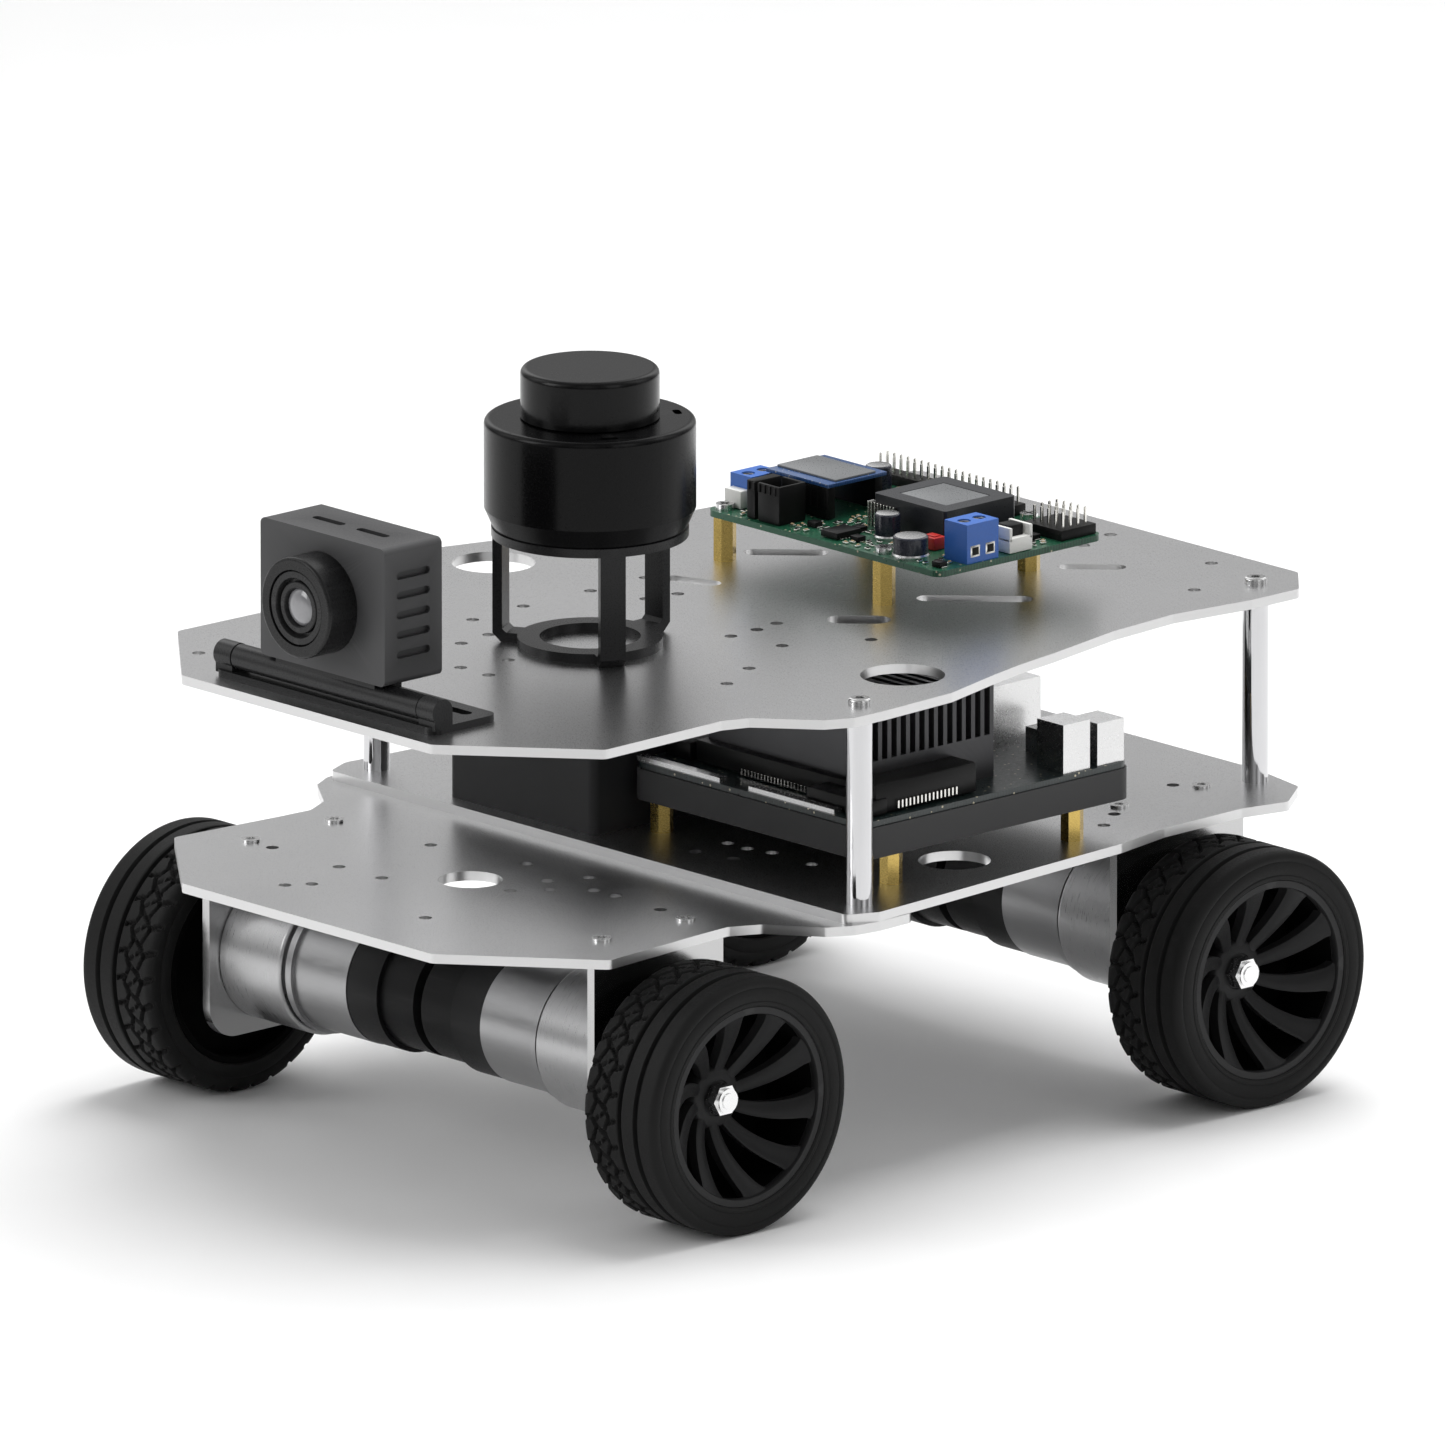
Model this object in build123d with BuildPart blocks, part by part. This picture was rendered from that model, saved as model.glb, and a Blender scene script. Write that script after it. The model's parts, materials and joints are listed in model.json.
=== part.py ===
# Two-deck four-wheel robot car: sheet decks on four round posts, four gearmotors,
# spoked wheels with rubber tyres, scanner on a three-legged stand, tilting camera,
# controller board above, battery and computer between the decks.
from build123d import *
from math import cos, sin, radians
import os

os.makedirs("parts", exist_ok=True)

# ---------------- driving dimensions, mm ----------------
y_shift = 6.0            # puts the middle of the whole length on y = 0
wheel_r = 32.5
wheel_w = 25.8
half_track = 91.6
half_base = 87.8
plate_t = 2.4
z_front_bot = 66.8       # underside of the lower front plate
z_rear_bot = z_front_bot + plate_t
z_low_top = z_rear_bot + plate_t
post_len = 48.2
post_r = 3.3
z_deck_bot = z_low_top + post_len
z_deck = z_deck_bot + plate_t
post_front = (88.0, -36.0)
post_rear = (68.5, 116.0)

gearbox_r = 18.5
gearbox_x0, gearbox_x1 = 46.6, 69.0
gearbox_rise = 7.0       # the output shaft sits below the motor's own axis
can_r = 16.5
can_x0 = 24.5
encoder_x0 = 1.5
shaft_r = 3.0
shaft_clear = 0.05
boss_r = 6.0
boss_x1 = 74.5

tyre_in_r = 25.2
rim_in_r = 23.3
hub_r = 8.5
hex_af = 12.0
stud_r = 2.0
nut_af = 7.0

lidar_c = (1.2, -46.0)
lidar_body_r = 26.2
lidar_body_z0, lidar_body_z1 = z_deck + 30.6, z_deck + 58.1
lidar_cap_r = 17.2
lidar_cap_h = 12.4
pivot_gap = 0.4

cam_axis_y, cam_axis_z = -130.7, z_deck + 5.5
cam_half_w = 22.6
cam_y0, cam_y1 = -134.0, -115.0
cam_z0, cam_z1 = z_deck + 8.9, z_deck + 43.8
barrel_r = 12.7
barrel_y = -143.0

board_z = z_deck + 11.4
board_t = 1.6
board_x0, board_x1 = -41.0, 44.0
board_y0, board_y1 = 31.5, 87.5
board_holes = [(-37.5, 35.0), (20.5, 35.0), (-37.5, 84.0), (20.5, 84.0)]

tray_x0, tray_x1 = -0.5, 84.0
tray_y0, tray_y1 = -31.0, 60.0
tray_z0, tray_z1 = z_low_top + 8.8, z_low_top + 16.7
tray_t = 1.5
tray_posts = [(4.5, -25.0), (79.0, -17.0), (79.0, 44.0), (4.5, 44.0)]

m3_r = 1.6
acc_x0, acc_x1, acc_y0, acc_y1 = -37.9, 44.3, -32.5, 8.5   # free accessory hole pattern


# ---------------- working planes ----------------
def level(z):
    """Horizontal plane at height z."""
    return Plane(origin=(0, y_shift, z))


def facing_x(x, side=1, y=0.0, z=0.0):
    """Upright plane whose normal points outward along X on the given side."""
    return Plane(origin=(x, y + y_shift, z), x_dir=(0, side, 0), z_dir=(side, 0, 0))


def facing_front(y):
    """Upright plane whose normal points to the front."""
    return Plane(origin=(0, y + y_shift, 0), x_dir=(1, 0, 0), z_dir=(0, -1, 0))


def both_sides(points):
    """Closed outline from the right-hand half, front to back."""
    return points + [(-x, y) for x, y in reversed(points)]


# ---------------- sheet plates ----------------
upper_half = [(45.5, -139.5), (78.0, -111.5), (77.0, -72.0), (79.5, -65.0), (93.5, -53.0),
              (97.0, -46.0), (97.0, -36.0), (95.5, -12.0), (90.0, 7.0), (87.0, 19.0),
              (84.5, 33.0), (79.0, 58.0), (77.0, 80.0), (80.0, 104.0), (80.0, 120.0),
              (68.0, 131.0)]
front_half = [(45.5, -139.5), (79.5, -111.5), (76.5, -78.0), (76.0, -69.0), (80.0, -61.0),
              (93.0, -51.5), (96.5, -45.0), (97.5, -38.0), (97.0, -27.0), (90.0, -22.0)]
rear_half = [(94.0, -46.0), (97.5, -38.0), (95.5, -12.0), (92.8, 20.0), (90.5, 50.0),
             (86.8, 68.0), (86.0, 95.0), (89.0, 108.0), (80.0, 120.0), (60.0, 124.0)]

deck_round = [(74.5, -9.0, 10.5)]
# centre x, y, length, width, turn of the long cable slots
deck_slots = [(32.5, 54.5, 29.0, 6.0, 45.0), (-32.5, 51.0, 21.0, 6.0, 45.0), (29.5, 97.0, 17.0, 5.0, 45.0),
              (-29.5, 97.0, 17.0, 5.0, -45.0), (28.0, 19.5, 16.0, 8.0, 45.0), (-28.0, 15.0, 16.0, 5.0, 20.0)]
deck_small = [(-36.6, -50.6), (-23.2, -57.5), (-21.6, -68.2), (-4.4, -84.1), (5.7, -84.0),
              (-1.7, -70.6), (-58.6, -122.0), (-22.6, -5.4), (-37.6, -10.2), (16.9, 2.2),
              (18.1, -5.6), (18.4, -14.6), (33.7, -11.6), (51.5, -46.6), (12.7, 110.0),
              (9.5, 122.1), (47.0, 121.3), (63.2, 100.2), (-20.8, 3.7), (-45.2, 17.2)]

with BuildPart() as upper_deck:
    with BuildSketch(level(z_deck_bot)):
        Polygon(*both_sides(upper_half), align=None)
    extrude(amount=plate_t)
    fillet(upper_deck.edges().filter_by(Axis.Z), radius=2.5)
    with BuildSketch(level(z_deck_bot)):
        for hx, hy, hr in deck_round:
            with Locations((hx, hy), (-hx, hy)):
                Circle(hr)
        for hx, hy in deck_small:
            with Locations((hx, hy)):
                Circle(m3_r)
        with Locations((acc_x0, acc_y0), (acc_x1, acc_y0), (acc_x0, acc_y1), (acc_x1, acc_y1)):
            Circle(m3_r)
        for px, py in (post_front, post_rear):
            with Locations((px, py), (-px, py)):
                Circle(m3_r)
        for hx, hy, length, width, turn in deck_slots:
            with Locations((hx, hy)):
                SlotOverall(length, width, rotation=turn)
    extrude(amount=plate_t, mode=Mode.SUBTRACT)

front_small = [(-55.8, -100.2), (-31.0, -100.5), (-27.1, -122.0), (-23.4, -116.5), (-16.0, -99.9),
               (19.2, -117.5), (-1.7, -64.5), (13.7, -71.8), (18.4, -62.2), (20.4, -77.0),
               (28.0, -69.4), (35.5, -69.2), (14.5, -84.9), (52.7, -69.9), (-31.0, -69.9)]
rear_small = [(-23.5, -29.6), (-14.6, -32.2), (24.5, -32.4), (24.1, -21.0), (31.1, -20.9),
              (38.1, -19.1), (35.9, -30.1), (52.9, -19.5), (58.0, 98.0), (68.5, 68.2), (74.6, 59.0)]
low_screws_front = [(64.0, -100.0), (64.0, -72.0)]
low_screws_rear = [(64.0, 74.0), (64.0, 102.0)]
with BuildPart() as lower_front_plate:
    with BuildSketch(level(z_front_bot)):
        Polygon(*both_sides(front_half), align=None)
    extrude(amount=plate_t)
    fillet(lower_front_plate.edges().filter_by(Axis.Z), radius=2.5)
    with BuildSketch(level(z_front_bot)):
        with Locations((0.0, -85.0)):
            Circle(8.0)
        for hx, hy in front_small:
            with Locations((hx, hy)):
                Circle(m3_r)
        for hx, hy in low_screws_front:
            with Locations((hx, hy), (-hx, hy)):
                Circle(m3_r)
        with Locations((post_front[0], post_front[1]), (-post_front[0], post_front[1])):
            Circle(m3_r)
    extrude(amount=plate_t, mode=Mode.SUBTRACT)

with BuildPart() as lower_rear_plate:
    with BuildSketch(level(z_rear_bot)):
        Polygon(*both_sides(rear_half), align=None)
    extrude(amount=plate_t)
    fillet(lower_rear_plate.edges().filter_by(Axis.Z), radius=2.5)
    with BuildSketch(level(z_rear_bot)):
        with Locations((74.0, 9.0), (-74.0, 9.0)):
            Circle(9.0)
        for hx, hy in rear_small:
            with Locations((hx, hy)):
                Circle(m3_r)
        for hx, hy in low_screws_rear:
            with Locations((hx, hy), (-hx, hy)):
                Circle(m3_r)
        for px, py in (post_front, post_rear):
            with Locations((px, py), (-px, py)):
                Circle(m3_r)
    extrude(amount=plate_t, mode=Mode.SUBTRACT)

upper_deck.part.label = "upper_deck"
export_step(upper_deck.part, "parts/upper_deck.step")
lower_front_plate.part.label = "lower_front_plate"
export_step(lower_front_plate.part, "parts/lower_front_plate.step")
lower_rear_plate.part.label = "lower_rear_plate"
export_step(lower_rear_plate.part, "parts/lower_rear_plate.step")

# ---------------- posts and their screws ----------------
post_spots = [(sx * px, py) for px, py in (post_front, post_rear) for sx in (1, -1)]
with BuildPart() as deck_posts:
    with BuildSketch(level(z_low_top)):
        with Locations(*post_spots):
            Circle(post_r)
    extrude(amount=post_len)
    with BuildSketch(level(z_low_top)):
        with Locations(*post_spots):
            Circle(1.5)
    extrude(amount=7.0, mode=Mode.SUBTRACT)
    with BuildSketch(level(z_deck_bot)):
        with Locations(*post_spots):
            Circle(1.5)
    extrude(amount=-7.0, mode=Mode.SUBTRACT)
deck_posts.part.label = "deck_posts"
export_step(deck_posts.part, "parts/deck_posts.step")

with BuildPart() as deck_screws:
    with BuildSketch(level(z_deck)):
        with Locations(*post_spots):
            Circle(2.9)
    extrude(amount=1.7)
    fillet(deck_screws.faces().filter_by(Axis.Z).group_by(Axis.Z)[-1].edges(), radius=0.8)
    with BuildSketch(level(z_deck)):
        with Locations(*post_spots):
            Circle(1.5)
    extrude(amount=-(plate_t + 5.0))
    with BuildSketch(level(z_deck + 1.7)):
        with Locations(*post_spots):
            RegularPolygon(1.2, 6)
    extrude(amount=-1.2, mode=Mode.SUBTRACT)
    for (px, py), z0 in ((post_front, z_front_bot), (post_rear, z_rear_bot)):
        with BuildSketch(level(z0)):
            with Locations((px, py), (-px, py)):
                Circle(2.9)
        extrude(amount=-1.7)
        with BuildSketch(level(z0)):
            with Locations((px, py), (-px, py)):
                Circle(1.5)
        extrude(amount=z_low_top - z0 + 5.0)
deck_screws.part.label = "deck_screws"
export_step(deck_screws.part, "parts/deck_screws.step")

# ---------------- motor brackets ----------------
with BuildPart() as motor_brackets:
    for yc, ztop in ((-half_base, z_front_bot), (half_base, z_rear_bot)):
        for side in (1, -1):
            with BuildSketch(facing_front(yc + 21.5)):
                with BuildLine():
                    Polyline((side * 50.0, ztop), (side * 71.5, ztop), (side * 71.5, 18.5), (side * 69.0, 18.5),
                             (side * 69.0, ztop - 2.4), (side * 50.0, ztop - 2.4), close=True)
                make_face()
            extrude(amount=43.0)
    fillet(motor_brackets.edges().filter_by(Axis.X).group_by(Axis.Z)[0], radius=9.0)
    for yc in (-half_base, half_base):
        for side in (1, -1):
            with BuildSketch(facing_x(side * 68.5, side, yc)):
                with Locations((0, wheel_r)):
                    Circle(boss_r + 0.1)
            extrude(amount=3.5, mode=Mode.SUBTRACT)
    for pts, ztop in ((low_screws_front, z_front_bot), (low_screws_rear, z_rear_bot)):
        for hx, hy in pts:
            with BuildSketch(level(ztop)):
                with Locations((hx, hy), (-hx, hy)):
                    Circle(1.5)
            extrude(amount=-2.4, mode=Mode.SUBTRACT)
motor_brackets.part.label = "motor_brackets"
export_step(motor_brackets.part, "parts/motor_brackets.step")

with BuildPart() as bracket_screws:
    for pts, ztop in ((low_screws_front, z_front_bot), (low_screws_rear, z_rear_bot)):
        for hx, hy in pts:
            with BuildSketch(level(ztop + plate_t)):
                with Locations((hx, hy), (-hx, hy)):
                    Circle(2.4)
            extrude(amount=0.7)
            with BuildSketch(level(ztop + plate_t)):
                with Locations((hx, hy), (-hx, hy)):
                    Circle(1.45)
            extrude(amount=-6.0)
            with BuildSketch(level(ztop + plate_t + 0.7)):
                with Locations((hx, hy), (-hx, hy)):
                    RegularPolygon(1.2, 6)
            extrude(amount=-0.5, mode=Mode.SUBTRACT)
bracket_screws.part.label = "bracket_screws"
export_step(bracket_screws.part, "parts/bracket_screws.step")

# ---------------- gearmotors ----------------
corners = [("front_left", -1, -half_base), ("front_right", 1, -half_base),
           ("rear_left", -1, half_base), ("rear_right", 1, half_base)]
motor_z = wheel_r + gearbox_rise

for corner, side, yc in corners:
    with BuildPart() as gearbox:
        with BuildSketch(facing_x(side * gearbox_x0, side, yc)):
            with Locations((0, motor_z)):
                Circle(gearbox_r)
        extrude(amount=gearbox_x1 - gearbox_x0)
        fillet(gearbox.edges().filter_by(GeomType.CIRCLE), radius=0.8)
        with BuildSketch(facing_x(side * gearbox_x1, side, yc)):
            with Locations((0, wheel_r)):
                Circle(boss_r)
        extrude(amount=boss_x1 - gearbox_x1)
        with BuildSketch(facing_x(side * boss_x1, side, yc)):
            with Locations((0, wheel_r)):
                Circle(shaft_r + shaft_clear)
        extrude(amount=-20.0, mode=Mode.SUBTRACT)
    gearbox.part.label = "gearbox_" + corner
    export_step(gearbox.part, "parts/gearbox_" + corner + ".step")

    with BuildPart() as motor_can:
        with BuildSketch(facing_x(side * can_x0, side, yc)):
            with Locations((0, motor_z)):
                Circle(can_r)
        extrude(amount=gearbox_x0 - can_x0)
        with BuildSketch(facing_x(side * (gearbox_x0 - 3.0), side, yc)):
            with Locations((0, motor_z)):
                Circle(can_r + 1.0)
        extrude(amount=2.0)
        with BuildSketch(facing_x(side * can_x0, side, yc)):
            with Locations((0, motor_z - can_r)):
                Rectangle(7.0, 2.0)
        extrude(amount=4.0, mode=Mode.SUBTRACT)
    motor_can.part.label = "motor_can_" + corner
    export_step(motor_can.part, "parts/motor_can_" + corner + ".step")

with BuildPart() as encoder_covers:
    for corner, side, yc in corners:
        with BuildSketch(facing_x(side * (encoder_x0 + 12.0), side, yc)):
            with Locations((0, motor_z)):
                Circle(can_r - 0.2)
        extrude(amount=can_x0 - encoder_x0 - 12.0)
        with BuildSketch(facing_x(side * encoder_x0, side, yc)):
            with Locations((0, motor_z)):
                Circle(can_r - 1.4)
        extrude(amount=12.0)
encoder_covers.part.label = "encoder_covers"
export_step(encoder_covers.part, "parts/encoder_covers.step")

# ---------------- wheels ----------------
for corner, side, yc in corners:
    hub = facing_x(side * half_track, side, yc, wheel_r)

    with BuildPart() as tyre:
        with BuildSketch(hub.offset(-wheel_w / 2)):
            Circle(wheel_r)
        extrude(amount=wheel_w)
        fillet(tyre.edges(), radius=2.4)
        with BuildSketch(hub.offset(-wheel_w / 2)):
            Circle(tyre_in_r)
        extrude(amount=wheel_w, mode=Mode.SUBTRACT)
    tyre.part.label = "tyre_" + corner
    export_step(tyre.part, "parts/tyre_" + corner + ".step")

    with BuildPart() as rim:
        with BuildSketch(hub.offset(-12.4)):
            Circle(tyre_in_r)
            Circle(rim_in_r, mode=Mode.SUBTRACT)
        extrude(amount=24.8)
        with BuildSketch(hub.offset(-8.0)):
            Circle(hub_r)
        extrude(amount=9.0)
        for k in range(10):
            ang = radians(36.0 * k + 18.0)
            out = hub.x_dir * cos(ang) + hub.y_dir * sin(ang)
            blade = Plane(origin=hub.origin, x_dir=out, z_dir=out.cross(hub.z_dir))
            with BuildSketch(blade):
                with BuildLine():
                    Polyline((6.0, -2.4), (15.0, 0.6), (20.0, 4.6), (24.2, 8.6), (24.2, 12.2), (22.5, 11.6), (18.5, 7.8), (15.0, 5.0), (10.0, 2.4), (6.0, 0.9), close=True)
                make_face()
            extrude(amount=1.8, both=True)
        with BuildSketch(hub.offset(-8.0)):
            RegularPolygon(hex_af / 2 + 0.02, 6, major_radius=False)
        extrude(amount=4.5, mode=Mode.SUBTRACT)
        with BuildSketch(hub.offset(-9.0)):
            Circle(stud_r + 0.05)
        extrude(amount=12.0, mode=Mode.SUBTRACT)
    rim.part.label = "rim_" + corner
    export_step(rim.part, "parts/rim_" + corner + ".step")

    with BuildPart() as hub_adaptor:
        with BuildSketch(hub.offset(-15.6)):
            RegularPolygon(hex_af / 2, 6, major_radius=False)
        extrude(amount=12.1)
        with BuildSketch(hub.offset(-3.5)):
            Circle(stud_r)
        extrude(amount=8.9)
        with BuildSketch(hub.offset(-15.6)):
            Circle(shaft_r)
        extrude(amount=10.0, mode=Mode.SUBTRACT)
    hub_adaptor.part.label = "hub_adaptor_" + corner
    export_step(hub_adaptor.part, "parts/hub_adaptor_" + corner + ".step")

    with BuildPart() as wheel_nut:
        with BuildSketch(hub.offset(1.0)):
            RegularPolygon(nut_af / 2, 6, major_radius=False)
            Circle(stud_r, mode=Mode.SUBTRACT)
        extrude(amount=3.2)
        with BuildSketch(hub.offset(4.2)):
            Circle(3.1)
            Circle(stud_r, mode=Mode.SUBTRACT)
        extrude(amount=0.9)
    wheel_nut.part.label = "wheel_nut_" + corner
    export_step(wheel_nut.part, "parts/wheel_nut_" + corner + ".step")

    with BuildPart() as output_shaft:
        with BuildSketch(facing_x(side * (boss_x1 - 19.5), side, yc)):
            with Locations((0, wheel_r)):
                Circle(shaft_r)
        extrude(amount=half_track - 5.6 - (boss_x1 - 19.5))
    output_shaft.part.label = "output_shaft_" + corner
    export_step(output_shaft.part, "parts/output_shaft_" + corner + ".step")

# ---------------- scanner and its stand ----------------
lx, ly = lidar_c
with BuildPart() as lidar_stand:
    with BuildSketch(level(z_deck)):
        with Locations(lidar_c):
            Circle(18.0)
            Circle(12.5, mode=Mode.SUBTRACT)
    extrude(amount=2.4)
    for ang in (-29.0, 91.0, 211.0):
        leg = Plane(origin=(lx, ly + y_shift, z_deck), x_dir=(cos(radians(ang)), sin(radians(ang)), 0),
                    z_dir=(sin(radians(ang)), -cos(radians(ang)), 0))
        with BuildSketch(leg):
            with BuildLine():
                Polyline((14.5, 0.0), (22.0, 0.0), (24.2, 2.2), (24.2, 30.6), (21.7, 30.6), (21.7, 3.4),
                         (20.6, 2.4), (14.5, 2.4), close=True)
            make_face()
        extrude(amount=3.2, both=True)
    with BuildSketch(level(lidar_body_z0 - 2.2)):
        with Locations(lidar_c):
            Circle(24.4)
    extrude(amount=2.2)
lidar_stand.part.label = "lidar_stand"
export_step(lidar_stand.part, "parts/lidar_stand.step")

with BuildPart() as lidar_housing:
    with BuildSketch(level(lidar_body_z0)):
        with Locations(lidar_c):
            Circle(24.0)
    with BuildSketch(level(lidar_body_z0 + 5.0)):
        with Locations(lidar_c):
            Circle(lidar_body_r)
    loft()
    with BuildSketch(level(lidar_body_z0 + 5.0)):
        with Locations(lidar_c):
            Circle(lidar_body_r)
    extrude(amount=lidar_body_z1 - lidar_body_z0 - 5.0)
    fillet(lidar_housing.faces().sort_by(Axis.Z)[-1].edges(), radius=1.5)
    with BuildSketch(level(lidar_body_z1)):
        with Locations(lidar_c):
            Circle(4.0 + shaft_clear)
    extrude(amount=-9.0, mode=Mode.SUBTRACT)
    for ang in (15.0, 105.0):
        with BuildSketch(level(lidar_body_z1)):
            with Locations((lx + 22.0 * cos(radians(ang - 45)), ly + 22.0 * sin(radians(ang - 45)))):
                SlotOverall(4.5, 2.0, rotation=ang + 45)
        extrude(amount=-1.5, mode=Mode.SUBTRACT)
lidar_housing.part.label = "lidar_housing"
export_step(lidar_housing.part, "parts/lidar_housing.step")

with BuildPart() as lidar_head:
    with BuildSketch(level(lidar_body_z1 + pivot_gap)):
        with Locations(lidar_c):
            Circle(lidar_cap_r)
    extrude(amount=lidar_cap_h)
    fillet(lidar_head.faces().sort_by(Axis.Z)[-1].edges(), radius=1.6)
    with BuildSketch(level(lidar_body_z1 + pivot_gap)):
        with Locations(lidar_c):
            Circle(4.0)
    extrude(amount=-9.0)
lidar_head.part.label = "lidar_head"
export_step(lidar_head.part, "parts/lidar_head.step")

# ---------------- tilting camera ----------------
with BuildPart() as camera_base:
    with BuildSketch(level(z_deck)):
        with Locations((0, -123.0)):
            RectangleRounded(80.0, 22.0, 3.0)
    extrude(amount=1.9)
    for side in (1, -1):
        with BuildSketch(facing_x(side * 34.0, side)):
            with Locations((side * cam_axis_y, cam_axis_z)):
                Circle(3.3)
            with Locations((side * (cam_axis_y + 0.4), (cam_axis_z + z_deck + 1.0) / 2)):
                Rectangle(5.8, cam_axis_z - z_deck - 1.0)
        extrude(amount=6.0)
    with BuildSketch(level(z_deck)):
        with Locations((31.0, -117.5), (-31.0, -117.5)):
            SlotOverall(9.0, 3.2)
        with Locations((0.0, -117.5)):
            SlotOverall(12.0, 3.2)
    extrude(amount=2.0, mode=Mode.SUBTRACT)
    with BuildSketch(facing_x(-41.0)):
        with Locations((cam_axis_y, cam_axis_z)):
            Circle(1.6)
    extrude(amount=82.0, mode=Mode.SUBTRACT)
camera_base.part.label = "camera_base"
export_step(camera_base.part, "parts/camera_base.step")

with BuildPart() as camera_hinge_pin:
    with BuildSketch(facing_x(-40.0)):
        with Locations((cam_axis_y, cam_axis_z)):
            Circle(1.6)
    extrude(amount=80.0)
camera_hinge_pin.part.label = "camera_hinge_pin"
export_step(camera_hinge_pin.part, "parts/camera_hinge_pin.step")

with BuildPart() as camera_hinge:
    with BuildSketch(facing_x(-33.6)):
        with Locations((cam_axis_y, cam_axis_z)):
            Circle(3.2)
    extrude(amount=67.2)
    with BuildSketch(facing_x(-18.0)):
        with Locations((cam_axis_y + 2.0, (cam_axis_z + cam_z0) / 2)):
            Rectangle(9.0, cam_z0 - cam_axis_z)
    extrude(amount=36.0)
    with BuildSketch(facing_x(-34.0)):
        with Locations((cam_axis_y, cam_axis_z)):
            Circle(1.6 + shaft_clear)
    extrude(amount=68.0, mode=Mode.SUBTRACT)
camera_hinge.part.label = "camera_hinge"
export_step(camera_hinge.part, "parts/camera_hinge.step")

with BuildPart() as camera_shell:
    with BuildSketch(facing_front(cam_y1)):
        with Locations((0, (cam_z0 + cam_z1) / 2)):
            RectangleRounded(2 * cam_half_w, cam_z1 - cam_z0, 1.6)
    extrude(amount=cam_y1 - cam_y0)
    with BuildSketch(facing_front(cam_y0)):
        with Locations((0, (cam_z0 + cam_z1) / 2)):
            Circle(10.0)
    extrude(amount=-9.0, mode=Mode.SUBTRACT)
    for k in range(5):
        for side in (1, -1):
            with BuildSketch(facing_x(side * cam_half_w, side)):
                with Locations(((cam_y0 + cam_y1) / 2 * side, cam_z0 + 7.5 + 5.0 * k)):
                    SlotOverall(11.0, 2.0)
            extrude(amount=-1.2, mode=Mode.SUBTRACT)
    with BuildSketch(level(cam_z1)):
        with Locations((-8.0, (cam_y0 + cam_y1) / 2), (8.0, (cam_y0 + cam_y1) / 2)):
            SlotOverall(11.0, 2.4)
    extrude(amount=-1.2, mode=Mode.SUBTRACT)
camera_shell.part.label = "camera_shell"
export_step(camera_shell.part, "parts/camera_shell.step")

cam_mid = (cam_z0 + cam_z1) / 2
with BuildPart() as camera_barrel:
    with BuildSketch(facing_front(cam_y0)):
        with Locations((0, cam_mid)):
            Circle(barrel_r)
    extrude(amount=cam_y0 - barrel_y)
    fillet(camera_barrel.edges().group_by(Axis.Y)[0], radius=0.8)
    with BuildSketch(facing_front(cam_y0)):
        with Locations((0, cam_mid)):
            Circle(9.9)
    extrude(amount=-8.0)
    with BuildSketch(facing_front(barrel_y)):
        with Locations((0, cam_mid)):
            Circle(9.6)
    extrude(amount=-2.2, mode=Mode.SUBTRACT)
    with BuildSketch(facing_front(barrel_y + 2.2)):
        with Locations((0, cam_mid)):
            Circle(4.8)
    extrude(amount=-4.0, mode=Mode.SUBTRACT)
camera_barrel.part.label = "camera_barrel"
export_step(camera_barrel.part, "parts/camera_barrel.step")

with BuildPart() as camera_lens:
    with BuildSketch(facing_front(barrel_y + 6.2)):
        with Locations((0, cam_mid)):
            Circle(4.8)
    extrude(amount=4.6)
    fillet(camera_lens.edges().group_by(Axis.Y)[0], radius=1.4)
camera_lens.part.label = "camera_lens"
export_step(camera_lens.part, "parts/camera_lens.step")

# ---------------- battery, computer and tray between the decks ----------------
with BuildPart() as battery_pack:
    with BuildSketch(level(z_low_top)):
        with Locations((-29.5, 5.5)):
            RectangleRounded(53.0, 93.0, 2.0)
    extrude(amount=26.0)
    fillet(battery_pack.faces().sort_by(Axis.Z)[-1].edges(), radius=1.0)
battery_pack.part.label = "battery_pack"
export_step(battery_pack.part, "parts/battery_pack.step")

with BuildPart() as tray_standoffs:
    with BuildSketch(level(z_low_top)):
        with Locations(*tray_posts):
            RegularPolygon(2.5, 6, major_radius=False)
    extrude(amount=tray_z0 - z_low_top)
tray_standoffs.part.label = "tray_standoffs"
export_step(tray_standoffs.part, "parts/tray_standoffs.step")

tray_cx, tray_cy = (tray_x0 + tray_x1) / 2, (tray_y0 + tray_y1) / 2
with BuildPart() as computer_tray:
    with BuildSketch(level(tray_z0)):
        with Locations((tray_cx, tray_cy)):
            RectangleRounded(tray_x1 - tray_x0, tray_y1 - tray_y0, 4.0)
    extrude(amount=tray_z1 - tray_z0)
    with BuildSketch(level(tray_z0 + tray_t)):
        with Locations((tray_cx, tray_cy)):
            RectangleRounded(tray_x1 - tray_x0 - 2 * tray_t, tray_y1 - tray_y0 - 2 * tray_t, 2.5)
    extrude(amount=tray_z1 - tray_z0, mode=Mode.SUBTRACT)
computer_tray.part.label = "computer_tray"
export_step(computer_tray.part, "parts/computer_tray.step")

comp_z = tray_z1
with BuildPart() as computer_board:
    with BuildSketch(level(comp_z)):
        with Locations((tray_cx, tray_cy)):
            RectangleRounded(tray_x1 - tray_x0 - 1.0, tray_y1 - tray_y0 - 1.0, 3.5)
    extrude(amount=1.6)
computer_board.part.label = "computer_board"
export_step(computer_board.part, "parts/computer_board.step")

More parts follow.
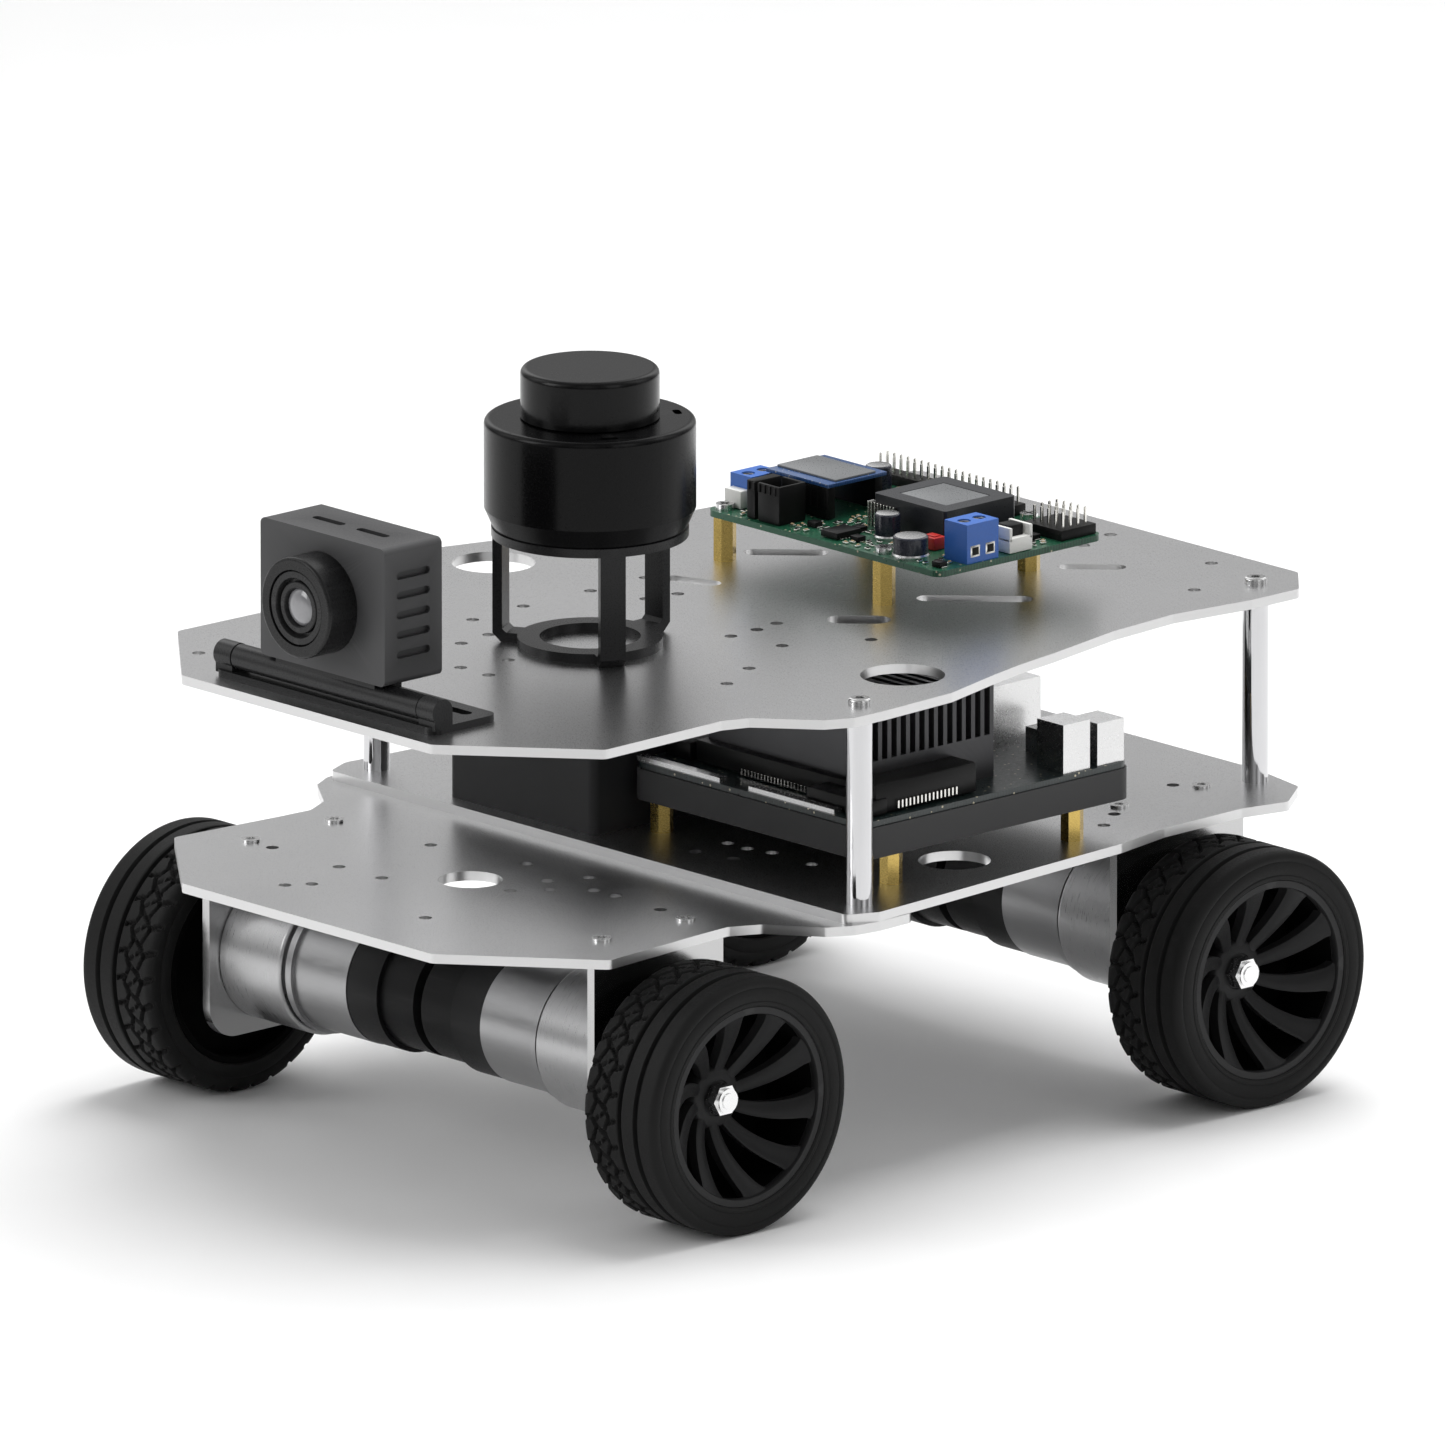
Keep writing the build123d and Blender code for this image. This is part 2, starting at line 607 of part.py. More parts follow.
sink_z = comp_z + 1.6
with BuildPart() as heatsink:
    with BuildSketch(level(sink_z)):
        with Locations((43.0, 3.0)):
            Rectangle(58.0, 42.0)
    extrude(amount=11.0)
    for k in range(14):
        with BuildSketch(level(sink_z + 11.0)):
            with Locations((43.0, -17.35 + 3.13 * k)):
                Rectangle(58.0, 1.3)
        extrude(amount=15.0)
heatsink.part.label = "heatsink"
export_step(heatsink.part, "parts/heatsink.step")

with BuildPart() as computer_ports:
    for cx, cy, sx, sy, h in ((46.0, 49.0, 14.5, 17.0, 16.0), (28.0, 49.0, 14.5, 17.0, 16.0),
                              (10.0, 49.0, 15.0, 17.0, 13.5), (78.0, 53.5, 9.5, 9.0, 11.0),
                              (64.0, 52.0, 8.0, 12.0, 6.5), (16.0, -28.8, 30.0, 2.6, 1.3),
                              (57.0, -28.8, 31.0, 2.6, 1.3), (78.0, 42.0, 9.5, 9.0, 12.6)):
        with BuildSketch(level(sink_z)):
            with Locations((cx, cy)):
                Rectangle(sx, sy)
        extrude(amount=h)
computer_ports.part.label = "computer_ports"
export_step(computer_ports.part, "parts/computer_ports.step")

# ---------------- controller board on the upper deck ----------------
with BuildPart() as board_standoffs:
    with BuildSketch(level(z_deck)):
        with Locations(*board_holes):
            RegularPolygon(2.5, 6, major_radius=False)
    extrude(amount=board_z - z_deck)
board_standoffs.part.label = "board_standoffs"
export_step(board_standoffs.part, "parts/board_standoffs.step")

top_z = board_z + board_t
with BuildPart() as control_board:
    with BuildSketch(level(board_z)):
        with Locations(((board_x0 + board_x1) / 2, (board_y0 + board_y1) / 2)):
            RectangleRounded(board_x1 - board_x0, board_y1 - board_y0, 3.0)
    extrude(amount=board_t)
control_board.part.label = "control_board"
export_step(control_board.part, "parts/control_board.step")

with BuildPart() as board_screws:
    with BuildSketch(level(top_z)):
        with Locations(*board_holes):
            Circle(2.3)
    extrude(amount=1.5)
    with BuildSketch(level(top_z + 1.5)):
        with Locations(*board_holes):
            Rectangle(3.2, 0.7)
            Rectangle(0.7, 3.2)
    extrude(amount=-0.8, mode=Mode.SUBTRACT)
board_screws.part.label = "board_screws"
export_step(board_screws.part, "parts/board_screws.step")

with BuildPart() as processor_module:
    with BuildSketch(level(top_z)):
        with Locations((12.5, 63.0)):
            RectangleRounded(26.0, 24.0, 1.0)
    extrude(amount=8.4)
    with BuildSketch(level(top_z + 8.4)):
        with Locations((12.5, 63.0)):
            Rectangle(17.0, 15.0)
    extrude(amount=-0.8, mode=Mode.SUBTRACT)
processor_module.part.label = "processor_module"
export_step(processor_module.part, "parts/processor_module.step")

with BuildPart() as motion_module:
    with BuildSketch(level(top_z + 8.5)):
        with Locations((-22.0, 55.0)):
            RectangleRounded(23.0, 20.0, 1.0)
    extrude(amount=1.6)
    with BuildSketch(level(top_z)):
        with Locations((-22.0, 47.0), (-22.0, 63.0)):
            Rectangle(21.0, 2.5)
    extrude(amount=8.5)
motion_module.part.label = "motion_module"
export_step(motion_module.part, "parts/motion_module.step")

with BuildPart() as pin_headers:
    for cx, cy, sx, sy, h in ((-8.5, 84.0, 50.8, 5.0, 8.5), (36.0, 80.0, 14.0, 12.0, 8.6),
                              (-21.5, 37.5, 12.0, 9.0, 10.0), (39.5, 60.0, 8.0, 8.0, 7.0)):
        with BuildSketch(level(top_z)):
            with Locations((cx, cy)):
                Rectangle(sx, sy)
        extrude(amount=h)
pin_headers.part.label = "pin_headers"
export_step(pin_headers.part, "parts/pin_headers.step")

with BuildPart() as screw_terminals:
    for cx, cy, sx, sy, h in ((-37.0, 45.0, 7.6, 10.2, 8.0), (39.3, 47.0, 8.2, 10.6, 10.0)):
        with BuildSketch(level(top_z)):
            with Locations((cx, cy)):
                Rectangle(sx, sy)
        extrude(amount=h)
        with BuildSketch(level(top_z + h)):
            with Locations((cx, cy - 2.54), (cx, cy + 2.54)):
                Circle(1.7)
        extrude(amount=-1.4, mode=Mode.SUBTRACT)
screw_terminals.part.label = "screw_terminals"
export_step(screw_terminals.part, "parts/screw_terminals.step")

with BuildPart() as capacitors:
    for cx, cy, r, h in ((-24.0, 74.5, 3.3, 7.0), (11.0, 45.0, 3.2, 6.5), (28.0, 37.0, 4.4, 5.4)):
        with BuildSketch(level(top_z)):
            with Locations((cx, cy)):
                Circle(r)
        extrude(amount=h)
    fillet(capacitors.faces().filter_by(Axis.Z).filter_by(lambda f: f.center().Z > top_z + 1).edges(), radius=0.5)
capacitors.part.label = "capacitors"
export_step(capacitors.part, "parts/capacitors.step")
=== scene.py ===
import bpy
import bmesh
import json
import math
import random
from mathutils import Matrix, Vector


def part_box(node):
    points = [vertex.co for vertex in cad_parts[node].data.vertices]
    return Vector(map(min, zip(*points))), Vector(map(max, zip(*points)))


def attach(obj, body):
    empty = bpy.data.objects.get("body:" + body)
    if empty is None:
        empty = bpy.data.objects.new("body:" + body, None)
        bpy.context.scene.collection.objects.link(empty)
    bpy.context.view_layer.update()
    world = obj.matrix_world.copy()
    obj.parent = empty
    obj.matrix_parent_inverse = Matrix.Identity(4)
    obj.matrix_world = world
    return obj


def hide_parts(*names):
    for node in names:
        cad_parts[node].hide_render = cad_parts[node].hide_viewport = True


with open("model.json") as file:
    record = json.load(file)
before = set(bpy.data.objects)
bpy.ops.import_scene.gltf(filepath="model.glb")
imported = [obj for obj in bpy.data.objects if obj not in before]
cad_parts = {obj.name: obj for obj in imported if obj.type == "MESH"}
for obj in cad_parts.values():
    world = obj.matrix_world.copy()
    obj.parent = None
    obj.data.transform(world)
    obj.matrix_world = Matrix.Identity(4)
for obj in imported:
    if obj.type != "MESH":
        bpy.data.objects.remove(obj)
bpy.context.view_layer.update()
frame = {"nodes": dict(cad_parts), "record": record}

rng = random.Random(7)
MM = 0.001
scene = bpy.context.scene
scene.view_settings.view_transform = "Standard"


# ---------------------------------------------------------------- materials
def material(name, base, rough, metal=0.0, spec=0.5, vary=0.12, grain=1500.0, bump=0.05, depth=0.00005,
             stretch=(1, 1, 1), rough_var=0.08, coat=0.0, painted_edge_light=None, edge_rough=0.2, wear=0.0, ior=1.5):
    m = bpy.data.materials.new(name)
    m.use_nodes = True
    nt = m.node_tree
    b = nt.nodes["Principled BSDF"]
    b.inputs["Metallic"].default_value = metal
    b.inputs["Specular IOR Level"].default_value = spec
    b.inputs["IOR"].default_value = ior
    b.inputs["Coat Weight"].default_value = coat
    b.inputs["Coat Roughness"].default_value = 0.12
    tc = nt.nodes.new("ShaderNodeTexCoord")
    mp = nt.nodes.new("ShaderNodeMapping")
    mp.inputs["Scale"].default_value = stretch
    nt.links.new(tc.outputs["Object"], mp.inputs["Vector"])
    fine = nt.nodes.new("ShaderNodeTexNoise")
    fine.inputs["Scale"].default_value = grain
    fine.inputs["Detail"].default_value = 4.0
    nt.links.new(mp.outputs["Vector"], fine.inputs["Vector"])
    broad = nt.nodes.new("ShaderNodeTexNoise")
    broad.inputs["Scale"].default_value = 45.0
    broad.inputs["Detail"].default_value = 3.0
    nt.links.new(tc.outputs["Object"], broad.inputs["Vector"])
    both = nt.nodes.new("ShaderNodeMath")
    both.operation = "ADD"
    nt.links.new(fine.outputs["Fac"], both.inputs[0])
    nt.links.new(broad.outputs["Fac"], both.inputs[1])
    ramp = nt.nodes.new("ShaderNodeMapRange")
    ramp.inputs["From Min"].default_value = 0.6
    ramp.inputs["From Max"].default_value = 1.4
    nt.links.new(both.outputs[0], ramp.inputs["Value"])
    mix = nt.nodes.new("ShaderNodeMix")
    mix.data_type = "RGBA"
    dark = [max(0.0, c * (1 - vary)) for c in base[:3]] + [1]
    light = [min(1.0, c * (1 + vary)) for c in base[:3]] + [1]
    mix.inputs["A"].default_value = dark
    mix.inputs["B"].default_value = light
    nt.links.new(ramp.outputs["Result"], mix.inputs["Factor"])
    colour = mix.outputs["Result"]
    rr = nt.nodes.new("ShaderNodeMapRange")
    rr.inputs["From Min"].default_value = 0.3
    rr.inputs["From Max"].default_value = 0.7
    rr.inputs["To Min"].default_value = max(0.03, rough - rough_var)
    rr.inputs["To Max"].default_value = min(1.0, rough + rough_var)
    nt.links.new(fine.outputs["Fac"], rr.inputs["Value"])
    roughness = rr.outputs["Result"]
    geo = nt.nodes.new("ShaderNodeNewGeometry")
    if wear > 0:
        wm = nt.nodes.new("ShaderNodeMapRange")
        wm.inputs["From Min"].default_value = 0.53
        wm.inputs["From Max"].default_value = 0.62
        wm.inputs["To Max"].default_value = wear
        nt.links.new(geo.outputs["Pointiness"], wm.inputs["Value"])
        w2 = nt.nodes.new("ShaderNodeMix")
        w2.data_type = "RGBA"
        nt.links.new(wm.outputs["Result"], w2.inputs["Factor"])
        nt.links.new(colour, w2.inputs["A"])
        w2.inputs["B"].default_value = [min(1.0, c * 1.8 + 0.04) for c in base[:3]] + [1]
        colour = w2.outputs["Result"]
    if painted_edge_light is not None:
        # side faces of the sheets (normals lying flat) get a flat colour of their own, painted light standing in for
        # how the lit sheet edges look, and a roughness of their own
        sep = nt.nodes.new("ShaderNodeSeparateXYZ")
        nt.links.new(geo.outputs["Normal"], sep.inputs[0])
        ab = nt.nodes.new("ShaderNodeMath")
        ab.operation = "ABSOLUTE"
        nt.links.new(sep.outputs["Z"], ab.inputs[0])
        em = nt.nodes.new("ShaderNodeMath")
        em.operation = "LESS_THAN"
        em.inputs[1].default_value = 0.5
        nt.links.new(ab.outputs[0], em.inputs[0])
        e2 = nt.nodes.new("ShaderNodeMix")
        e2.data_type = "RGBA"
        nt.links.new(em.outputs[0], e2.inputs["Factor"])
        nt.links.new(colour, e2.inputs["A"])
        e2.inputs["B"].default_value = list(painted_edge_light) + [1]
        colour = e2.outputs["Result"]
        e3 = nt.nodes.new("ShaderNodeMix")
        nt.links.new(em.outputs[0], e3.inputs["Factor"])
        nt.links.new(roughness, e3.inputs["A"])
        e3.inputs["B"].default_value = edge_rough
        roughness = e3.outputs["Result"]
    nt.links.new(colour, b.inputs["Base Color"])
    nt.links.new(roughness, b.inputs["Roughness"])
    if bump > 0:
        bp = nt.nodes.new("ShaderNodeBump")
        bp.inputs["Strength"].default_value = bump
        bp.inputs["Distance"].default_value = depth
        nt.links.new(fine.outputs["Fac"], bp.inputs["Height"])
        nt.links.new(bp.outputs["Normal"], b.inputs["Normal"])
    return m


def board_material(name, base, trace, scale=260.0):
    """Solder resist with faint tracks and pads underneath."""
    m = material(name, base, 0.34, vary=0.15, grain=900.0, bump=0.03, coat=0.25)
    nt = m.node_tree
    b = nt.nodes["Principled BSDF"]
    old = b.inputs["Base Color"].links[0].from_socket
    tc = nt.nodes.new("ShaderNodeTexCoord")
    br = nt.nodes.new("ShaderNodeTexBrick")
    br.inputs["Scale"].default_value = scale
    br.inputs["Mortar Size"].default_value = 0.035
    br.inputs["Color1"].default_value = (0, 0, 0, 1)
    br.inputs["Color2"].default_value = (0.25, 0.25, 0.25, 1)
    br.inputs["Mortar"].default_value = (1, 1, 1, 1)
    nt.links.new(tc.outputs["Object"], br.inputs["Vector"])
    vo = nt.nodes.new("ShaderNodeTexVoronoi")
    vo.inputs["Scale"].default_value = scale * 1.7
    nt.links.new(tc.outputs["Object"], vo.inputs["Vector"])
    lt = nt.nodes.new("ShaderNodeMath")
    lt.operation = "LESS_THAN"
    lt.inputs[1].default_value = 0.13
    nt.links.new(vo.outputs["Distance"], lt.inputs[0])
    mx = nt.nodes.new("ShaderNodeMix")
    mx.data_type = "RGBA"
    nt.links.new(br.outputs["Color"], mx.inputs["Factor"])
    nt.links.new(old, mx.inputs["A"])
    mx.inputs["B"].default_value = list(trace) + [1]
    m2 = nt.nodes.new("ShaderNodeMix")
    m2.data_type = "RGBA"
    nt.links.new(lt.outputs[0], m2.inputs["Factor"])
    nt.links.new(mx.outputs["Result"], m2.inputs["A"])
    m2.inputs["B"].default_value = (0.55, 0.50, 0.36, 1)
    nt.links.new(m2.outputs["Result"], b.inputs["Base Color"])
    return m


M = {
    # deck and bracket: the edge colour is painted light on the sheet edges, standing in for how their lit edges look
    "deck": material("deck_satin", (0.76, 0.76, 0.765), 0.30, metal=1.0, vary=0.03, grain=5200.0, bump=0.10,
                     depth=0.00002, rough_var=0.05, painted_edge_light=(0.66, 0.66, 0.66), edge_rough=0.30),
    "post": material("post_polish", (0.62, 0.62, 0.63), 0.06, metal=1.0, vary=0.03, grain=1800.0,
                     stretch=(1, 1, 0.04), bump=0.04, rough_var=0.04),
    "steel": material("plated_steel", (0.66, 0.66, 0.66), 0.24, metal=1.0, vary=0.06, grain=2500.0, bump=0.05, wear=0.4),
    "nut": material("nut_plated", (0.86, 0.86, 0.86), 0.20, metal=1.0, vary=0.04, grain=2500.0, bump=0.05),
    "bracket": material("bracket_satin", (0.50, 0.50, 0.51), 0.33, metal=1.0, vary=0.04, grain=3500.0, bump=0.08,
                        painted_edge_light=(0.52, 0.52, 0.52)),
    "gearbox": material("gearbox_turned", (0.46, 0.46, 0.465), 0.30, metal=1.0, vary=0.05, grain=900.0,
                        stretch=(6, 0.3, 0.3), bump=0.02, rough_var=0.04),
    "can": material("can_rolled", (0.36, 0.36, 0.365), 0.32, metal=1.0, vary=0.06, grain=700.0,
                    stretch=(0.25, 1.5, 1.5), bump=0.015, rough_var=0.04),
    "black": material("moulded_black", (0.006, 0.006, 0.0064), 0.44, spec=0.14, vary=0.2, grain=2600.0, bump=0.16, wear=0.3),
    "rubber": material("tyre_rubber", (0.009, 0.009, 0.009), 0.58, spec=0.16, vary=0.25, grain=1800.0, bump=0.25,
                       depth=0.0001, wear=0.25),
    "rim": material("rim_moulded", (0.013, 0.013, 0.0135), 0.46, spec=0.20, vary=0.18, grain=2400.0, bump=0.14, wear=0.4),
    # rim barrel and web: near-black painted shade for the inside of the wheel
    "rim_shade_black": material("rim_painted_shade", (0.002, 0.002, 0.002), 0.70, spec=0.05, vary=0.2, grain=1800.0, bump=0.15),
    "stand": material("stand_black", (0.007, 0.007, 0.0075), 0.30, spec=0.26, vary=0.15, grain=3600.0, bump=0.20, wear=0.4),
    "lidar": material("lidar_moulded", (0.0025, 0.0025, 0.0027), 0.22, spec=0.16, vary=0.2, grain=2800.0, bump=0.06, wear=0.25),
    "cap": material("lidar_window", (0.004, 0.004, 0.0042), 0.20, spec=0.20, vary=0.15, grain=2400.0, bump=0.03),
    "camera": material("camera_moulded", (0.050, 0.050, 0.0515), 0.46, spec=0.22, vary=0.12, grain=3400.0, bump=0.16, wear=0.3),
    "ring": material("barrel_turned", (0.010, 0.010, 0.0104), 0.30, spec=0.26, vary=0.15, grain=1800.0,
                     stretch=(1, 6, 1), bump=0.08, wear=0.4),
    "lens": material("lens_coated", (0.20, 0.20, 0.21), 0.16, spec=0.8, vary=0.2, grain=300.0, bump=0.0, coat=0.8),
    "battery": material("battery_case", (0.020, 0.020, 0.0208), 0.48, spec=0.18, vary=0.15, grain=2400.0, bump=0.16, wear=0.4),
    "tray": material("tray_sheet", (0.020, 0.020, 0.0206), 0.46, spec=0.20, vary=0.15, grain=2600.0, bump=0.15, wear=0.5),
    "brass": material("standoff_brass", (0.60, 0.43, 0.13), 0.26, metal=1.0, vary=0.06, grain=1500.0,
                      stretch=(1, 1, 4), bump=0.08, rough_var=0.06),
    "sink": material("sink_anodised", (0.030, 0.030, 0.032), 0.38, metal=0.7, vary=0.15, grain=2400.0, bump=0.08, wear=0.6),
    "port": material("port_shell", (0.72, 0.72, 0.72), 0.26, metal=1.0, vary=0.05, grain=1700.0, bump=0.0, rough_var=0.02),
    "comp": board_material("computer_resist", (0.008, 0.014, 0.014), (0.018, 0.03, 0.03)),
    "green": board_material("control_resist", (0.006, 0.052, 0.026), (0.02, 0.11, 0.058)),
    # grey for the motion module's real cover, and a painted highlight for the sheen on the processor module's top
    "module": material("module_case", (0.020, 0.0215, 0.025), 0.34, spec=0.35, vary=0.12, grain=2400.0, bump=0.08, coat=0.15),
    "grey_cover_and_sheen": material("grey_cover_and_painted_sheen", (0.15, 0.155, 0.16), 0.32, spec=0.5, vary=0.1, grain=2400.0, bump=0.06),
    "bluepcb": board_material("module_resist", (0.010, 0.045, 0.15), (0.04, 0.10, 0.25), 420.0),
    "header": material("header_black", (0.006, 0.006, 0.006), 0.40, spec=0.2, vary=0.2, grain=2600.0, bump=0.1),
    "blue": material("terminal_blue", (0.030, 0.130, 0.48), 0.36, vary=0.1, grain=2200.0, bump=0.08, coat=0.1),
    "white": material("connector_white", (0.78, 0.78, 0.75), 0.42, vary=0.05, grain=2200.0, bump=0.08),
    "red": material("relay_red", (0.45, 0.025, 0.02), 0.36, vary=0.1, grain=2200.0, bump=0.08),
    "tan": material("chip_ceramic", (0.42, 0.31, 0.18), 0.5, vary=0.15, grain=2600.0, bump=0.1),
    "sleeve": material("cap_sleeve", (0.016, 0.018, 0.03), 0.30, vary=0.15, grain=2000.0, bump=0.04, coat=0.2),
    "pin": material("pin_tinned", (0.83, 0.82, 0.78), 0.20, metal=1.0, vary=0.05, grain=2400.0, bump=0.03),
}

by_slot = {
    "deck_sheet": "deck", "post_metal": "post", "screw_steel": "steel", "bracket_metal": "bracket",
    "gearbox_metal": "gearbox", "motor_metal": "can", "encoder_plastic": "black", "tyre_rubber": "rubber",
    "rim_plastic": "rim", "hub_metal": "nut", "nut_steel": "nut", "shaft_steel": "steel", "stand_black": "stand",
    "lidar_plastic": "lidar", "lidar_cap": "cap", "camera_plastic": "camera", "camera_ring": "ring",
    "lens_glass": "lens", "battery_plastic": "battery", "tray_plastic": "tray", "brass": "brass",
    "board_dark": "comp", "sink_metal": "sink", "port_steel": "port", "board_green": "green",
    "module_dark": "module", "module_board": "grey_cover_and_sheen", "header_black": "header", "terminal_blue": "blue",
    "cap_can": "sleeve",
}
slot_of = {s["node"]: s["material_slot"] for s in frame["record"]["subparts"]}
for node, obj in frame["nodes"].items():
    mat = M[by_slot[slot_of[node]]]
    if not obj.material_slots:
        obj.data.materials.append(mat)
    for s in obj.material_slots:
        s.material = mat


# ---------------------------------------------------------------- mesh helpers
class Soup:
    """Collects several closed shells into one mesh."""

    def __init__(self):
        self.v, self.f = [], []

    def add(self, verts, faces):
        n = len(self.v)
        self.v += [tuple(p) for p in verts]
        self.f += [tuple(i + n for i in f) for f in faces]

    def block(self, c, s, bev=0.15, turn=0.0, seg=2):
        """A block with rounded edges, centre c and size s in mm, turned about Z."""
        bm = bmesh.new()
        bmesh.ops.create_cube(bm, size=1.0)
        bmesh.ops.scale(bm, vec=s, verts=bm.verts)
        if bev > 0:
            bmesh.ops.bevel(bm, geom=list(bm.edges), offset=min(bev, min(s) * 0.3), segments=seg, affect="EDGES", profile=0.5)
        if turn:
            bmesh.ops.rotate(bm, verts=bm.verts, matrix=Matrix.Rotation(math.radians(turn), 3, "Z"))
        bmesh.ops.translate(bm, vec=c, verts=bm.verts)
        bm.verts.index_update()
        self.add([v.co[:] for v in bm.verts], [[v.index for v in f.verts] for f in bm.faces])
        bm.free()

    def lathe(self, profile, centre, axis="Z", seg=48, closed=False):
        """Revolves (radius, height) points about an axis through centre, in mm."""
        v, f, n = [], [], len(profile)
        for k in range(seg):
            a = 2 * math.pi * k / seg
            for r, h in profile:
                p, q = r * math.cos(a), r * math.sin(a)
                if axis == "Z":
                    v.append((centre[0] + p, centre[1] + q, centre[2] + h))
                elif axis == "X":
                    v.append((centre[0] + h, centre[1] + p, centre[2] + q))
                else:
                    v.append((centre[0] + q, centre[1] + h, centre[2] + p))
        for k in range(seg):
            k2 = (k + 1) % seg
            for i in range(n if closed else n - 1):
                j = (i + 1) % n
                f.append((k * n + i, k2 * n + i, k2 * n + j, k * n + j))
        if not closed:
            f.append(tuple(k * n for k in reversed(range(seg))))
            f.append(tuple(k * n + n - 1 for k in range(seg)))
        self.add(v, f)

    def piece(self, name, mat, body, smooth=None, slot=None):
        me = bpy.data.meshes.new(name)
        me.from_pydata([(x * MM, y * MM, z * MM) for x, y, z in self.v], [], self.f)
        bm = bmesh.new()
        bm.from_mesh(me)
        bmesh.ops.recalc_face_normals(bm, faces=bm.faces)
        bm.to_mesh(me)
        bm.free()
        me.materials.append(M[mat])
        o = bpy.data.objects.new(name, me)
        scene.collection.objects.link(o)
        if smooth is not None:
            for p in me.polygons:
                p.use_smooth = True
            me.set_sharp_from_angle(angle=math.radians(smooth))
        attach(o, body)
        return o


def node_mm(name):
    lo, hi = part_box(name)
    return [c * 1000 for c in lo], [c * 1000 for c in hi]


# ---------------------------------------------------------------- wheels
CORNERS = [("front_left", -1), ("front_right", 1), ("rear_left", -1), ("rear_right", 1)]
SEG = 432
GROOVE = 1.25


def tread_depth(th, w):
    """Depth cut into the tread at angle th and distance w towards the outer face, mm."""
    d = 0.0

    def cut(dist, half, full):
        return full * max(0.0, min(1.0, (half + 0.30 - dist) / 0.30))

    d = max(d, cut(abs(w - 6.4), 0.50, GROOVE), cut(abs(w - 0.6), 0.50, GROOVE))
    n = 30
    u = (th / (2 * math.pi) * n) % 1.0
    tri = abs(2 * u - 1) * 2 - 1
    pitch = 2 * math.pi * 32.5 / n
    d = max(d, cut(abs(w + 4.0 - 0.8 * tri), 0.32, 1.1))
    d = max(d, cut(abs(w + 8.6 + 0.8 * tri), 0.32, 1.1))
    if w < 0.6:
        # slanted cuts, leaning one way in the middle band and the other at the inner shoulder
        if -4.0 < w:
            s = ((u + 0.055 * w) % 1.0)
            if -0.6 > w > -3.2:
                d = max(d, cut(min(s, 1 - s) * pitch, 0.30, 1.0))
        elif w > -8.6:
            s = ((u * 1.0 - 0.11 * (w + 6.3) + 0.5) % 1.0)
            d = max(d, cut(min(s, 1 - s) * pitch, 0.38, 1.1))
            s = ((u * 1.0 + 0.11 * (w + 6.3)) % 1.0)
            if abs(w + 6.3) > 0.4:
                d = max(d, cut(min(s, 1 - s) * pitch, 0.28, 0.8))
        else:
            s = ((u + 0.07 * (w + 8.6)) % 1.0)
            d = max(d, cut(min(s, 1 - s) * pitch, 0.48, 1.2))
    elif 1.6 < w < 5.4:
        s = ((u * 0.5 + 0.02 * w) % 1.0)
        if w < 2.6:
            d = max(d, cut(min(s, 1 - s) * pitch * 2, 0.22, 0.7))
    return d


def tyre(corner, side):
    lo, hi = node_mm("tyre_" + corner)
    cx, cy, cz = [(a + b) / 2 for a, b in zip(lo, hi)]
    hw = (hi[0] - lo[0]) / 2
    R = (hi[2] - lo[2]) / 2
    # closed cross-section, from the inner bead over the tread to the outer bead and back
    prof = [(25.2, -hw + 0.5), (25.6, -hw + 0.1), (26.6, -hw), (28.4, -hw), (28.8, -hw + 0.22), (29.2, -hw)]
    for k in range(7):
        a = math.radians(90 * k / 6)
        prof.append((R - 2.2 + 2.2 * math.sin(a), -hw + 2.2 - 2.2 * math.cos(a)))
    first = len(prof)
    steps = int((2 * hw - 4.4) / 0.30)
    for k in range(1, steps):
        prof.append((R, -hw + 2.2 + (2 * hw - 4.4) * k / steps))
    for k in range(7):
        a = math.radians(90 - 90 * k / 6)
        prof.append((R - 1.8 + 1.8 * math.sin(a), hw - 1.8 + 1.8 * math.cos(a)))
    prof += [(30.2, hw), (29.9, hw - 0.18), (29.6, hw), (26.9, hw), (26.6, hw - 0.16), (26.3, hw), (25.6, hw - 0.05), (25.2, hw - 0.45)]
    n = len(prof)
    v, f = [], []
    for k in range(SEG):
        th = 2 * math.pi * k / SEG
        for r, w in prof:
            rr = r
            if r > R - 1.6:
                rr = r - tread_depth(th, w) * (1.0 if r > R - 0.4 else 0.5)
            v.append((cx + side * w, cy + side * rr * math.cos(th), cz + rr * math.sin(th)))
    for k in range(SEG):
        k2 = (k + 1) % SEG
        for i in range(n):
            j = (i + 1) % n
            f.append((k * n + i, k * n + j, k2 * n + j, k2 * n + i))
    s = Soup()
    s.add(v, f)
    o = s.piece("tyre_" + corner + "_tread", "rubber", "wheel_" + corner, smooth=32, slot="tyre_rubber")
    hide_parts("tyre_" + corner)


